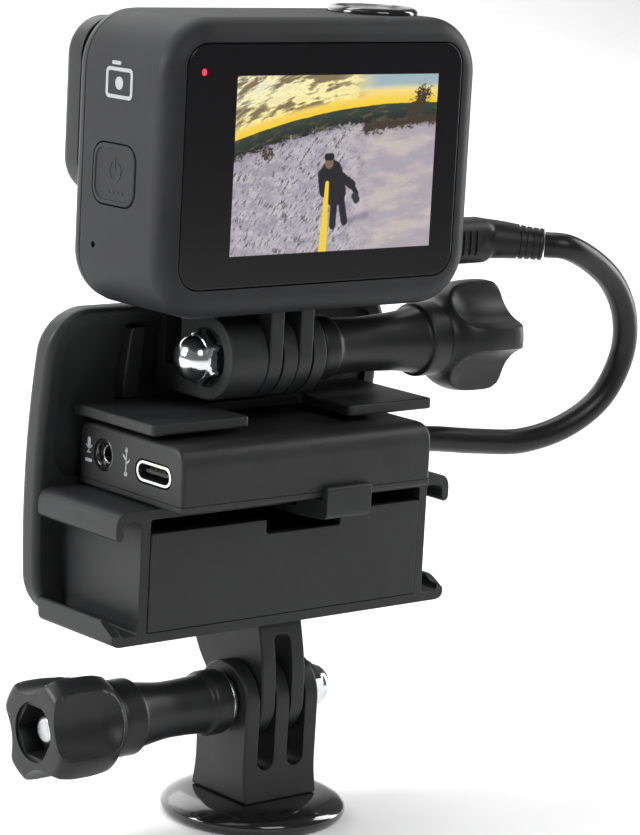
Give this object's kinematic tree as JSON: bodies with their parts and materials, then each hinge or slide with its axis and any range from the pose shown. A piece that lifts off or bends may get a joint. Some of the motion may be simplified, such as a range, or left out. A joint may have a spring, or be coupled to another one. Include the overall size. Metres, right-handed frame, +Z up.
{
  "type": "action camera rig",
  "caption": "Compact action camera with rear touch screen on finger mounts, above a holder for its plug-in microphone adapter, with thumbscrews and a round tripod foot.",
  "frame": {"origin": "centre of the object's footprint on the surface under the foot, cable left out", "axes": "+Z up, +Y the way the lens looks, +X towards the cable side, right seen from behind"},
  "size_m": [0.1257, 0.0367, 0.1387],
  "materials": {
    "rubber_black": "soft-touch matte black",
    "plastic_black": "satin moulded black",
    "plastic_dark": "matte moulded dark grey",
    "gloss_black": "polished black",
    "glass_black": "coated black glass",
    "lens_glass": "coated clear glass",
    "display": "lit display panel",
    "chrome": "polished",
    "steel": "plain zinc-bright",
    "brass": "machined",
    "board": "green solder mask",
    "light_red": "translucent red",
    "battery_wrap": "printed-free wrap",
    "tab_blue": "blue plastic film"
  },
  "bodies": {
    "foot": {"foot_column": "plastic_dark", "foot_disc": "gloss_black", "foot_pad": "rubber_black", "thread_insert": "brass", "lower_cap_nut": "chrome"},
    "lower_screw_travel": {"lower_thumbscrew_washer": "steel"},
    "lower_screw": {"lower_thumbscrew_knob": "plastic_dark", "lower_thumbscrew_bolt": "steel"},
    "holder": {"back_plate": "plastic_dark", "box_frame": "plastic_dark", "front_panel": "plastic_dark", "adapter_roof": "plastic_dark", "plate_rib": "plastic_dark", "upper_prong_mount": "plastic_dark", "lower_prong_mount": "plastic_dark", "upper_cap_nut": "chrome", "adapter_cover": "plastic_dark", "adapter_base": "plastic_dark", "adapter_circuit_board": "board", "mic_jack_socket": "plastic_black", "adapter_usb_shell": "steel", "adapter_usb_tongue": "plastic_black", "adapter_strain_relief": "rubber_black", "usb_cable": "rubber_black"},
    "latch": {"adapter_latch": "plastic_dark"},
    "upper_screw_travel": {"upper_thumbscrew_washer": "steel"},
    "upper_screw": {"upper_thumbscrew_knob": "plastic_dark", "upper_thumbscrew_bolt": "steel"},
    "camera": {"camera_rear_housing": "rubber_black", "camera_front_cover": "plastic_black", "lens_bezel": "plastic_black", "lens_cover_glass": "lens_glass", "lens_barrel": "plastic_black", "lens_front_element": "lens_glass", "sensor_board": "board", "main_board": "board", "rear_screen_glass": "glass_black", "rear_status_light": "light_red", "rear_display_panel": "display", "front_display_glass": "glass_black", "front_status_light": "light_red", "camera_usb_port": "steel", "plug_metal_shell": "steel", "mount_finger_left": "plastic_black", "finger_pin_left": "steel", "mount_finger_right": "plastic_black", "finger_pin_right": "steel", "camera_plug": "rubber_black"},
    "shutter": {"shutter_button": "gloss_black"},
    "mode_key": {"mode_button": "plastic_black"},
    "battery_pack": {"battery": "battery_wrap", "battery_pull_tab": "tab_blue"},
    "card": {"memory_card": "plastic_black"}
  },
  "joints": [
    {"name": "base_tilt", "type": "hinge", "parent": "foot", "child": "holder", "pos_m": [-0.0016, -0.00235, 0.0209], "axis": [1, 0, 0], "range_deg": [-60, 60]},
    {"name": "camera_tilt", "type": "hinge", "parent": "holder", "child": "camera", "pos_m": [-0.0036, -0.00185, 0.0807], "axis": [1, 0, 0], "range_deg": [-2, 60], "deforming": ["usb_cable"]},
    {"name": "upper_screw_travel", "type": "slide", "parent": "holder", "child": "upper_screw_travel", "axis": [1, 0, 0], "range_m": [0, 0.0024]},
    {"name": "upper_screw_turn", "type": "hinge", "parent": "upper_screw_travel", "child": "upper_screw", "pos_m": [0.00425, -0.00185, 0.0807], "axis": [1, 0, 0], "range_deg": [0, 1080]},
    {"name": "lower_screw_travel", "type": "slide", "parent": "foot", "child": "lower_screw_travel", "axis": [-1, 0, 0], "range_m": [0, 0.0024]},
    {"name": "lower_screw_turn", "type": "hinge", "parent": "lower_screw_travel", "child": "lower_screw", "pos_m": [-0.00945, -0.00235, 0.0209], "axis": [-1, 0, 0], "range_deg": [0, 1080]},
    {"name": "latch_flex", "type": "hinge", "parent": "holder", "child": "latch", "pos_m": [0.00375, 0.00515, 0.0547], "axis": [1, 0, 0], "range_deg": [0, 5], "stiffness_Nm_per_rad": 1.5, "springref_deg": -0.57},
    {"name": "shutter_press", "type": "slide", "parent": "camera", "child": "shutter", "axis": [0, 0, -1], "range_m": [0, 0.0006], "stiffness_N_per_m": 2500, "springref_m": -0.0002},
    {"name": "mode_press", "type": "slide", "parent": "camera", "child": "mode_key", "axis": [1, 0, 0], "range_m": [0, 0.0005], "stiffness_N_per_m": 2500, "springref_m": -0.0002},
    {"name": "battery_slide", "type": "slide", "parent": "camera", "child": "battery_pack", "axis": [1, 0, 0], "range_m": [0, 0.042]},
    {"name": "card_slide", "type": "slide", "parent": "camera", "child": "card", "axis": [1, 0, 0], "range_m": [0, 0.018]}
  ],
  "couplings": [
    {"joint": "upper_screw_travel", "follows": "upper_screw_turn", "m_per_rad": 0.00012732},
    {"joint": "lower_screw_travel", "follows": "lower_screw_turn", "m_per_rad": 0.00012732}
  ]
}
